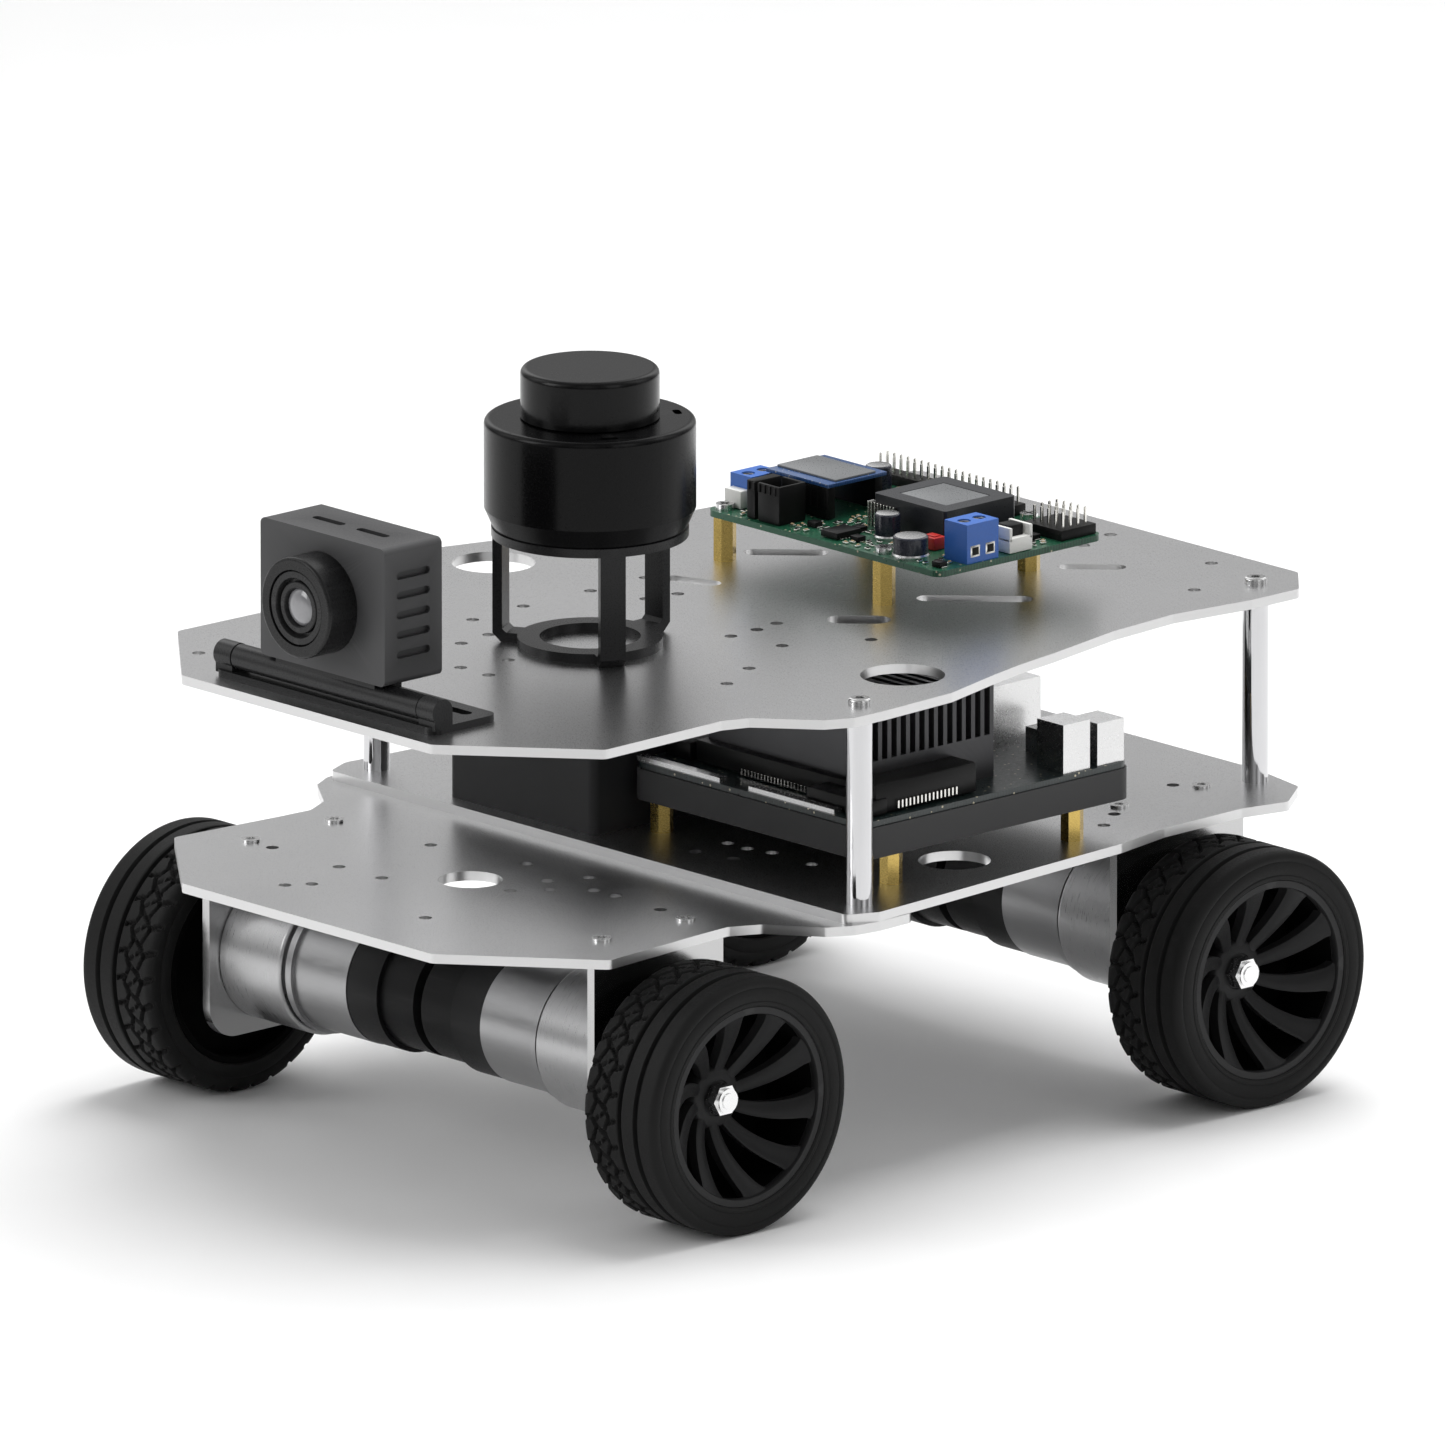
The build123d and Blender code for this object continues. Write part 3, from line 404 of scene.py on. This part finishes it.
def rim(corner, side):
    lo, hi = node_mm("tyre_" + corner)
    cx, cy, cz = [(a + b) / 2 for a, b in zip(lo, hi)]
    s = Soup()

    def put(verts, faces):
        s.add([(cx + side * w, cy + side * y, cz + z) for y, z, w in verts], faces)

    def ring(profile, seg=144):
        n = len(profile)
        v = [(r * math.cos(2 * math.pi * k / seg), r * math.sin(2 * math.pi * k / seg), w)
             for k in range(seg) for r, w in profile]
        f = [(k * n + i, k * n + (i + 1) % n, ((k + 1) % seg) * n + (i + 1) % n, ((k + 1) % seg) * n + i)
             for k in range(seg) for i in range(n)]
        put(v, f)

    ring([(25.2, 9.6), (23.5, 9.6), (23.25, 10.4), (23.15, 11.9), (23.4, 12.35), (25.0, 12.4), (25.2, 12.2)])
    ring([(8.5, -7.8), (8.5, -2.2), (7.6, 0.4), (6.9, 0.95), (4.6, 1.0), (4.4, 0.6), (2.1, 0.6), (2.1, -3.4), (6.9, -3.4), (6.9, -7.8), (7.1, -8.0), (8.3, -8.0)], 96)
    for k in range(10):
        base = math.radians(36 * k + 18)
        v, f = [], []
        rows = 22
        for i in range(rows + 1):
            t = i / rows
            r = 6.2 + (23.9 - 6.2) * t
            half = 1.55 + 1.75 * t ** 1.5 + (1.1 * max(0.0, t - 0.84) / 0.16) ** 2
            swing = math.radians(17.0) * (t ** 1.4) - math.radians(7.0)
            a = base + swing
            top = 0.9 + 11.2 * t ** 1.22
            thick = 3.4 + 0.6 * t
            c, sn = math.cos(a), math.sin(a)
            sec = [(-half, -0.55), (-half * 0.72, -0.10), (0.0, 0.0), (half * 0.72, -0.10), (half, -0.55),
                   (half * 0.86, -thick), (0.0, -thick - 0.15), (-half * 0.86, -thick)]
            for q, dw in sec:
                v.append((r * c - q * sn, r * sn + q * c, top + dw))
        m = 8
        for i in range(rows):
            for j in range(m):
                j2 = (j + 1) % m
                f.append((i * m + j, i * m + j2, (i + 1) * m + j2, (i + 1) * m + j))
        f.append(tuple(range(m)))
        f.append(tuple(rows * m + j for j in reversed(range(m))))
        put(v, f)
    o = s.piece("rim_" + corner + "_spokes", "rim", "wheel_" + corner, smooth=38, slot="rim_plastic")
    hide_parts("rim_" + corner)
    # near-black barrel lining and web disc behind the spokes, darker than the rim moulding: painted shade standing in
    # for the shade inside the wheel seen through the spoke windows
    b = Soup()
    v, f, n = [], [], 6
    prof = [(25.2, -12.2), (25.0, -12.4), (23.6, -12.4), (23.3, -12.1), (23.5, 9.5), (25.2, 9.5)]
    for k in range(144):
        a = 2 * math.pi * k / 144
        v += [(cx + side * w, cy + side * q * math.cos(a), cz + q * math.sin(a)) for q, w in prof]
        f += [(k * n + i, k * n + (i + 1) % n, ((k + 1) % 144) * n + (i + 1) % n, ((k + 1) % 144) * n + i) for i in range(n)]
    b.add(v, f)
    v, f, n = [], [], 4
    prof = [(8.4, -7.0), (8.4, -6.2), (23.4, -6.2), (23.4, -7.0)]
    for k in range(144):
        a = 2 * math.pi * k / 144
        v += [(cx + side * w, cy + side * q * math.cos(a), cz + q * math.sin(a)) for q, w in prof]
        f += [(k * n + i, k * n + (i + 1) % n, ((k + 1) % 144) * n + (i + 1) % n, ((k + 1) % 144) * n + i) for i in range(n)]
    b.add(v, f)
    b.piece("rim_" + corner + "_barrel", "rim_shade_black", "wheel_" + corner, smooth=38, slot="rim_plastic")


for corner, side in CORNERS:
    tyre(corner, side)
    rim(corner, side)

# ---------------------------------------------------------------- controller board details
blo, bhi = node_mm("control_board")
TZ = bhi[2]
YS = (blo[1] + bhi[1]) / 2 - 59.5      # the frame's own shift along Y


def at(x, y, h=0.0):
    return (x, y + YS, TZ + h)


hd = Soup()
pins = Soup()
# long two-row header at the back
hd.block(at(-8.5, 84.0, 1.4), (50.6, 4.9, 2.7), 0.2)
for k in range(20):
    for j in (-1, 1):
        px = -8.5 + (k - 9.5) * 2.5
        pins.block(at(px, 84.0 + j * 1.25, 3.9), (0.62, 0.62, 6.2), 0.08, seg=1)
# block of pins at the back right
hd.block(at(36.0, 80.0, 1.4), (13.8, 11.8, 2.7), 0.2)
for k in range(5):
    for j in range(4):
        pins.block(at(36.0 + (k - 2) * 2.54, 80.0 + (j - 1.5) * 2.54, 3.8), (0.62, 0.62, 6.4), 0.08, seg=1)
# shrouded connector at the front left
hd.block(at(-25.9, 37.5, 5.0), (3.0, 9.0, 9.8), 0.3)
hd.block(at(-19.5, 33.4, 5.0), (7.6, 0.9, 9.8), 0.3)
hd.block(at(-19.5, 41.6, 5.0), (7.6, 0.9, 9.8), 0.3)
hd.block(at(-15.9, 37.5, 5.0), (0.8, 9.0, 9.8), 0.3)
for k in range(6):
    hd.block(at(-26.5 + 1.9 * k, 32.9, 8.6), (0.8, 0.5, 2.2), 0.1, seg=1)
hd.block(at(39.5, 60.0, 5.2), (4.6, 4.6, 3.2), 0.4)
o = hd.piece("header_bodies", "header", "chassis", smooth=35, slot="header_black")
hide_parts("pin_headers")
for k in range(4):
    pins.block(at(-20.5, 34.6 + 1.9 * k, 4.2), (0.6, 0.6, 7.0), 0.08, seg=1)
for k in range(8):
    for j in (-1, 1):
        pins.block(at(-30.9 + 2.54 * k, 55.0 + j * 8.0, 7.6), (0.6, 0.6, 2.2), 0.08, seg=1)
pins.piece("header_pins", "pin", "chassis", smooth=35, slot="port_steel")

wh = Soup()
wh.block(at(39.5, 60.0, 2.0), (7.8, 7.8, 3.8), 0.3)
wh.block(at(39.5, 63.4, 4.8), (7.8, 1.0, 3.6), 0.2)
wh.block(at(39.5, 56.6, 4.8), (7.8, 1.0, 3.6), 0.2)
wh.block(at(-37.0, 38.6, 2.4), (6.0, 3.0, 4.6), 0.3)
wh.piece("white_connector", "white", "chassis", smooth=35, slot="header_black")

# screws in the terminals and metal plates in their wire mouths; the black plates over the wire mouths and the black
# bars on the screw heads are painted shade standing in for the dark insides of the holes and slots
sc = Soup()
hole_shade = Soup()
for cx, cy, h, mx in ((-37.0, 45.0, 8.0, -41.0), (39.3, 47.0, 10.0, 43.4)):
    for j in (-1, 1):
        y = cy + j * 2.54
        sc.lathe([(0.0, -1.3), (1.55, -1.3), (1.6, -0.5), (1.4, -0.25), (0.0, -0.25)], at(cx, y, h), seg=28)
        sg = 1 if mx > 0 else -1
        sc.block(at(cx + sg * 3.9 if sg > 0 else cx - 3.6, y, 3.0), (0.5, 3.2, 3.0), 0.15)
        # painted shade: a black plate for the inside of the wire mouth, and a black bar for the screw slot
        hole_shade.block(at(cx + (4.0 if sg > 0 else -3.7), y, 3.0), (0.5, 2.2, 2.0), 0.1)
        hole_shade.block(at(cx, y, h - 0.22), (2.6, 0.45, 0.12), 0.03, turn=20)
hole_shade.piece("terminal_mouths_painted_shade", "header", "chassis", smooth=35, slot="header_black")
sc.piece("terminal_screws", "pin", "chassis", smooth=35, slot="port_steel")

# bright tops of the electrolytic capacitors, with a low one by the front standoff
cp = Soup()
for cx, cy, r, h in ((-24.0, 74.5, 3.3, 7.0), (11.0, 45.0, 3.2, 6.5), (28.0, 37.0, 4.4, 5.4)):
    cp.lathe([(0.0, -0.3), (r * 0.86, -0.3), (r * 0.88, 0.06), (r * 0.80, 0.12), (0.0, 0.10)], at(cx, cy, h), seg=40)
    cp.lathe([(0.0, 0.2), (r + 0.25, 0.2), (r + 0.3, 0.9), (r + 0.02, 1.3), (0.0, 1.3)], at(cx, cy, -0.2), seg=40)
cp.piece("capacitor_tops", "port", "chassis", smooth=35, slot="cap_can")

# second module: grey cover over a small blue board
md = Soup()
md.block(at(-22.0, 55.0, 9.0), (22.8, 19.8, 1.0), 0.15)
o = md.piece("motion_board", "bluepcb", "chassis", smooth=35, slot="module_board")
mc = Soup()
mc.block(at(-22.0, 55.0, 9.8), (21.4, 13.6, 0.6), 0.2)
mc.piece("motion_cover", "grey_cover_and_sheen", "chassis", smooth=35, slot="module_board")
mh = Soup()
for j in (-1, 1):
    mh.block(at(-22.0, 55.0 + 8.0 * j, 4.3), (21.0, 2.5, 8.2), 0.25)
    for k in range(8):
        mh.block(at(-30.9 + 2.54 * k, 55.0 + 9.3 * j, 5.4), (1.3, 0.25, 5.2), 0.08, seg=1)
o2 = mh.piece("motion_sockets", "header", "chassis", smooth=35, slot="header_black")
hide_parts("motion_module")

# raised grey plate on the processor module's top, a painted highlight standing in for the sheen of its lit top, and
# cooling ribs
pm = Soup()
pm.block(at(12.5, 63.0, 8.1), (16.6, 14.6, 0.6), 0.2)
for k in range(9):
    pm.block(at(25.35, 54.0 + 2.25 * k, 4.4), (0.25, 0.9, 5.4), 0.08, seg=1)
pm.piece("processor_sheen_plate_and_ribs", "grey_cover_and_sheen", "chassis", smooth=35, slot="module_dark")

# chips and small parts scattered over the free areas
taken = [(-8.5, 84.0, 52, 6), (36, 80, 15, 13), (-21.5, 37.5, 13, 10), (39.5, 60, 9, 9), (-37, 45, 9, 12), (39.3, 47, 9, 12),
         (-24, 74.5, 8, 8), (11, 45, 8, 8), (28, 37, 10, 10), (-22, 55, 24, 21), (12.5, 63, 27, 25), (-37, 38.6, 8, 5),
         (-37.5, 35, 7, 7), (20.5, 35, 7, 7), (-37.5, 84, 7, 7), (20.5, 84, 7, 7)]


def free(x, y, w, d):
    if not (-40 + w / 2 < x < 43 - w / 2 and 32.5 + d / 2 < y < 86.5 - d / 2):
        return False
    return all(abs(x - a) > (w + c) / 2 or abs(y - b) > (d + e) / 2 for a, b, c, e in taken)


chips, legs, tans, tins, reds = Soup(), Soup(), Soup(), Soup(), Soup()
for x, y, w, d, h in ((1.5, 38.0, 6.0, 8.0, 1.6), (-6.5, 45.0, 5.0, 6.0, 1.5), (-5.0, 73.0, 7.0, 7.0, 1.4), (30.5, 68.0, 5.0, 7.0, 1.6)):
    if free(x, y, w + 2, d + 2):
        chips.block(at(x, y, 0.25 + h / 2), (w, d, h), 0.15)
        n = int(d / 1.27)
        for k in range(n):
            for j in (-1, 1):
                legs.block(at(x + j * (w / 2 + 0.4), y + (k - (n - 1) / 2) * 1.1, 0.35), (0.9, 0.4, 0.3), 0.05, seg=1)
        taken.append((x, y, w + 2, d + 2))
reds.block(at(26.0, 46.5, 1.7), (5.0, 4.0, 3.2), 0.35)
reds.block(at(26.0, 46.5, 3.35), (3.2, 2.4, 0.5), 0.12)
taken.append((26, 46.5, 6, 5))
for _ in range(1500):
    x, y = rng.uniform(-39, 42), rng.uniform(33, 86)
    kind = rng.random()
    w, d = (1.6, 0.8) if rng.random() < 0.5 else (0.8, 1.6)
    if kind > 0.8:
        w, d = 3.0, 2.6
    if not free(x, y, w + 0.5, d + 0.5):
        continue
    taken.append((x, y, w + 0.5, d + 0.5))
    if kind > 0.8:
        chips.block(at(x, y, 0.75), (w, d, 1.4), 0.15)
        tins.block(at(x, y, 0.2), (w + 0.8, d * 0.7, 0.3), 0.05, seg=1)
    else:
        (tans if kind < 0.4 else chips).block(at(x, y, 0.4), (w * 0.6, d * 0.6, 0.7), 0.08, seg=1)
        tins.block(at(x, y, 0.3), (w, d, 0.45), 0.08, seg=1)
# row of standing fins between the two modules
for k in range(9):
    tins.block(at(-1.5 + 1.15 * k, 51.0, 3.2), (0.45, 2.2, 6.2), 0.1, seg=1)
chips.piece("board_chips", "header", "chassis", smooth=35, slot="header_black")
legs.piece("chip_legs", "pin", "chassis", smooth=35, slot="port_steel")
tans.piece("chip_capacitors", "tan", "chassis", smooth=35, slot="header_black")
tins.piece("solder_ends", "pin", "chassis", smooth=35, slot="port_steel")
reds.piece("red_fuse", "red", "chassis", smooth=35, slot="header_black")

# ---------------------------------------------------------------- lens stack of the camera
slo, shi = node_mm("camera_barrel")
bx, bz = (slo[0] + shi[0]) / 2, (slo[2] + shi[2]) / 2
fy = slo[1]
lr = Soup()
lr.lathe([(9.3, 0.5), (9.1, 0.3), (7.6, 0.3), (7.4, 0.6), (7.4, 2.3), (9.5, 2.3)], (bx, fy, bz), axis="Y", seg=96, closed=True)
lr.lathe([(6.5, 1.1), (6.3, 0.9), (5.1, 0.9), (4.9, 1.2), (4.9, 2.3), (6.6, 2.3)], (bx, fy, bz), axis="Y", seg=96, closed=True)
lr.piece("lens_rings", "ring", "camera", smooth=35, slot="camera_ring")
ln = Soup()
ln.lathe([(0.0, 1.0), (1.6, 1.06), (3.0, 1.25), (4.2, 1.6), (4.75, 2.1), (4.75, 4.6), (0.0, 4.6)], (bx, fy, bz), axis="Y", seg=72)
o = ln.piece("front_glass", "lens", "camera", smooth=40, slot="lens_glass")
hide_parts("camera_lens")

# ---------------------------------------------------------------- computer details between the decks
clo, chi = node_mm("computer_board")
CZ = chi[2]
co, cs, cw = Soup(), Soup(), Soup()
co.block((43, clo[1] + 13.0, CZ + 3.0), (62.0, 6.0, 5.6), 0.4)
co.block((76.0, clo[1] + 24, CZ + 4.0), (9.0, 34.0, 7.6), 0.6)
co.block((70.0, clo[1] + 7, CZ + 2.2), (22.0, 7.0, 4.0), 0.4)
co.block((6.5, clo[1] + 22, CZ + 2.4), (9.0, 26.0, 4.6), 0.4)
for k in range(24):
    cs.block((30.0 + 1.2 * k, clo[1] + 9.3, CZ + 1.2), (0.5, 1.3, 1.6), 0.08, seg=1)
for k in range(16):
    cs.block((80.9, clo[1] + 14 + 1.3 * k, CZ + 2.0), (0.8, 0.5, 2.0), 0.08, seg=1)
co.piece("computer_connectors", "header", "chassis", smooth=35, slot="board_dark")
cs.piece("computer_pins", "pin", "chassis", smooth=35, slot="port_steel")

# ---------------------------------------------------------------- floor, light and camera
me = bpy.data.meshes.new("floor")
me.from_pydata([(-4, -4, 0), (4, -4, 0), (4, 4, 0), (-4, 4, 0)], [], [(0, 1, 2, 3)])
floor = bpy.data.objects.new("floor", me)
scene.collection.objects.link(floor)
fm = material("floor_paper", (0.90, 0.90, 0.90), 0.75, spec=0.25, vary=0.004, grain=60.0, bump=0.0)
me.materials.append(fm)

world = bpy.data.worlds.new("studio")
scene.world = world
world.use_nodes = True
wn = world.node_tree
bg = wn.nodes["Background"]
bg.inputs["Color"].default_value = (1, 1, 1, 1)
wtc = wn.nodes.new("ShaderNodeTexCoord")
wsep = wn.nodes.new("ShaderNodeSeparateXYZ")
wn.links.new(wtc.outputs["Generated"], wsep.inputs[0])


def wmath(op, a, b=None):
    n = wn.nodes.new("ShaderNodeMath")
    n.operation = op
    for i, x in enumerate((a, b)):
        if x is None:
            continue
        if isinstance(x, (int, float)):
            n.inputs[i].default_value = x
        else:
            wn.links.new(x, n.inputs[i])
    return n.outputs[0]


elev = wn.nodes.new("ShaderNodeMapRange")
elev.interpolation_type = "SMOOTHSTEP"
elev.inputs["From Min"].default_value = -0.05
elev.inputs["From Max"].default_value = 0.75
elev.inputs["To Min"].default_value = 0.36
elev.inputs["To Max"].default_value = 1.35
wn.links.new(wsep.outputs["Z"], elev.inputs["Value"])
high = wn.nodes.new("ShaderNodeMapRange")
high.interpolation_type = "SMOOTHSTEP"
high.inputs["From Min"].default_value = 0.55
high.inputs["From Max"].default_value = 0.98
high.inputs["To Min"].default_value = 1.0
high.inputs["To Max"].default_value = 0.42
wn.links.new(wsep.outputs["Z"], high.inputs["Value"])
turn = wmath("ARCTAN2", wsep.outputs["Y"], wsep.outputs["X"])
wave = wmath("SINE", wmath("ADD", wmath("MULTIPLY", turn, 7.0), 1.1))
band = wmath("ADD", wmath("MULTIPLY", wave, 0.42), 0.74)
lobe = wmath("ADD", wmath("MULTIPLY", wmath("COSINE", wmath("SUBTRACT", turn, math.radians(137))), 0.5), 1.0)
tall = wmath("MULTIPLY", elev.outputs["Result"], high.outputs["Result"])
soft = wmath("MULTIPLY", wmath("MULTIPLY", tall, band), lobe)
lp = wn.nodes.new("ShaderNodeLightPath")
pick = wn.nodes.new("ShaderNodeMix")
wn.links.new(lp.outputs["Is Camera Ray"], pick.inputs["Factor"])
wn.links.new(soft, pick.inputs["A"])
pick.inputs["B"].default_value = 1.0
wn.links.new(pick.outputs["Result"], bg.inputs["Strength"])


def area(name, loc, target, size, power):
    li = bpy.data.lights.new(name, "AREA")
    li.shape = "RECTANGLE"
    li.size, li.size_y = size
    li.energy = power
    ob = bpy.data.objects.new(name, li)
    ob.location = loc
    ob.rotation_mode = "QUATERNION"
    ob.rotation_quaternion = (Vector(target) - Vector(loc)).to_track_quat("-Z", "Y")
    scene.collection.objects.link(ob)
    return ob


area("top_soft", (-0.1, 0.45, 1.3), (0, 0, 0.05), (1.0, 1.0), 16.0).visible_glossy = False
area("front_soft", (-0.5, -1.1, 0.7), (0, 0, 0.1), (0.5, 0.7), 3.5)
area("right_fill", (1.2, -0.1, 0.7), (0, 0, 0.08), (0.5, 0.9), 0.8)

az, el, wide = math.radians(47.256), math.radians(14.8189), 0.35804
ca, sa, ce, se = math.cos(az), math.sin(az), math.cos(el), math.sin(el)
right = Vector((ca, sa, 0))
up = Vector((-sa * se, ca * se, ce))
back = Vector((sa * ce, -ca * ce, se))
aim = right * (-0.00034) + up * 0.09083 + Vector((0, YS * MM, 0))
dist = 12.0
cd = bpy.data.cameras.new("view")
cd.sensor_width = 36.0
cd.lens = 36.0 * dist / wide
cd.clip_start, cd.clip_end = 1.0, 60.0
cam = bpy.data.objects.new("view", cd)
cam.matrix_world = Matrix.Translation(aim + back * dist) @ Matrix((right, up, back)).transposed().to_4x4()
scene.collection.objects.link(cam)
scene.camera = cam
